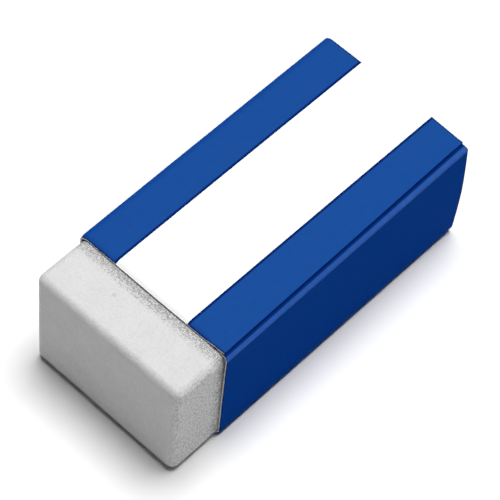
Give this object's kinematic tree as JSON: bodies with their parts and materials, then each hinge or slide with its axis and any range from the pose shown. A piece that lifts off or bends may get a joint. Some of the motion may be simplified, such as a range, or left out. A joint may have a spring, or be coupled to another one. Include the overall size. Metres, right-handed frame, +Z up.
{
  "type": "block eraser",
  "caption": "Soft white pencil eraser block in a folded card sleeve printed with blue bands and a white stripe; the block slides along the sleeve.",
  "frame": {"origin": "middle of the footprint of the eraser and its sleeve, on the surface they lie on", "axes": "+Y along the eraser from its exposed end to its covered end, +X across it towards the glued seam, +Z up through the seam panel"},
  "size_m": [0.02, 0.0426, 0.0154],
  "materials": {
    "vinyl": "matte",
    "card": "satin",
    "glue": "satin",
    "blue_ink": "satin"
  },
  "bodies": {
    "sleeve": {"sleeve_card": "card", "seam_glue": "glue", "print_left_blue": "blue_ink", "print_right_blue": "blue_ink", "print_top_right_blue": "blue_ink"},
    "block": {"eraser_block": "vinyl"}
  },
  "joints": [
    {"name": "block_slide", "type": "slide", "parent": "sleeve", "child": "block", "axis": [0, -1, 0], "range_m": [-0.0445, 0.038]}
  ]
}
